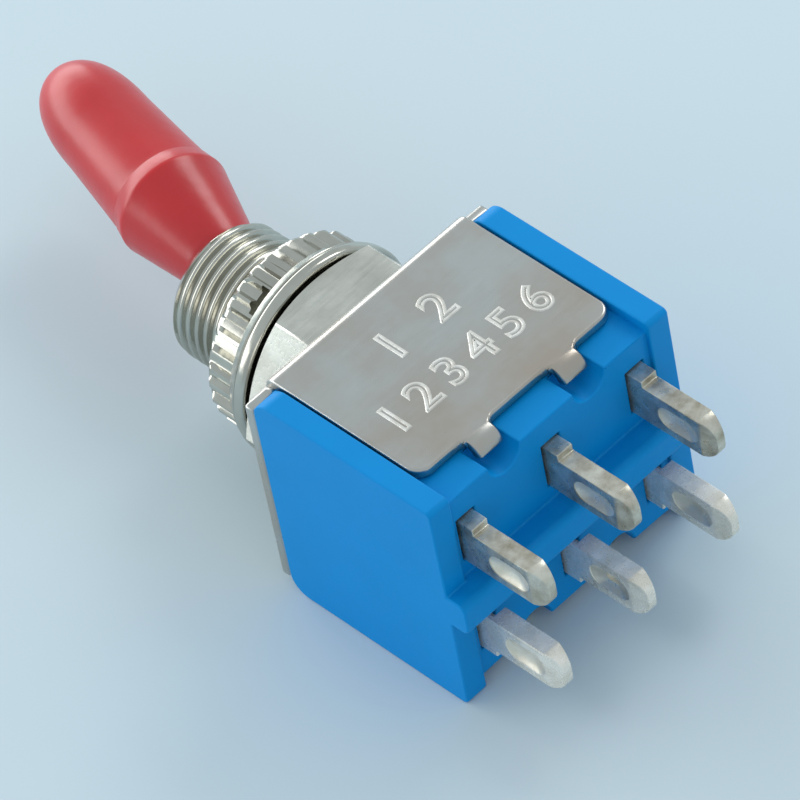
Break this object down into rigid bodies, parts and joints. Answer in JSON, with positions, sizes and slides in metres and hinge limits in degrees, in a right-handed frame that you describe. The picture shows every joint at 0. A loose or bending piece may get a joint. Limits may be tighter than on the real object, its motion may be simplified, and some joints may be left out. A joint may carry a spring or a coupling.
{
  "type": "panel toggle switch",
  "caption": "Miniature panel toggle switch with a blue case, folded steel frame, threaded bushing with nuts, red capped lever and solder terminals.",
  "frame": {"origin": "on the bushing axis, in the outer face of the sheet metal frame, where the bushing comes out", "axes": "-Y along the bushing towards the lever, +Y towards the terminals, X along a row of three terminals, +Z out of the upper side plate"},
  "size_m": [0.0132, 0.0371, 0.0112],
  "materials": {
    "frame_steel": "satin",
    "nickel_plate": "polished",
    "blue_plastic": "satin",
    "red_vinyl": "gloss",
    "tinned_brass": "satin",
    "nylon": "matte",
    "silver_contact": "satin"
  },
  "bodies": {
    "housing": {"frame": "frame_steel", "bushing": "nickel_plate", "hex_nut": "nickel_plate", "lock_ring": "nickel_plate", "knurled_nut": "nickel_plate", "case": "blue_plastic", "terminal_1": "tinned_brass", "terminal_2": "tinned_brass", "terminal_3": "tinned_brass", "terminal_4": "tinned_brass", "terminal_5": "tinned_brass", "terminal_6": "tinned_brass"},
    "lever": {"lever": "nickel_plate", "lever_cap": "red_vinyl"},
    "carriage": {"carriage": "nylon", "plunger_upper": "silver_contact", "plunger_lower": "silver_contact", "spring_upper": "frame_steel", "spring_lower": "frame_steel"},
    "rocker_upper": {"rocker_upper": "silver_contact"},
    "rocker_lower": {"rocker_lower": "silver_contact"}
  },
  "joints": [
    {"name": "lever_throw", "type": "hinge", "parent": "housing", "child": "lever", "pos_m": [0, -0.0056, 0], "axis": [0, 0, 1], "range_deg": [0, 27]},
    {"name": "carriage_slide", "type": "slide", "parent": "housing", "child": "carriage", "axis": [1, 0, 0], "range_m": [-0.00374, 0]},
    {"name": "rocker_upper_tilt", "type": "hinge", "parent": "housing", "child": "rocker_upper", "pos_m": [0, 0.0069, 0.00245], "axis": [0, 0, 1], "range_deg": [-16, 0]},
    {"name": "rocker_lower_tilt", "type": "hinge", "parent": "housing", "child": "rocker_lower", "pos_m": [0, 0.0069, -0.00245], "axis": [0, 0, 1], "range_deg": [-16, 0]}
  ],
  "couplings": [
    {"joint": "carriage_slide", "follows": "lever_throw", "m_per_rad": -0.0079262},
    {"joint": "rocker_upper_tilt", "follows": "lever_throw", "ratio": -0.59259},
    {"joint": "rocker_lower_tilt", "follows": "lever_throw", "ratio": -0.59259}
  ]
}
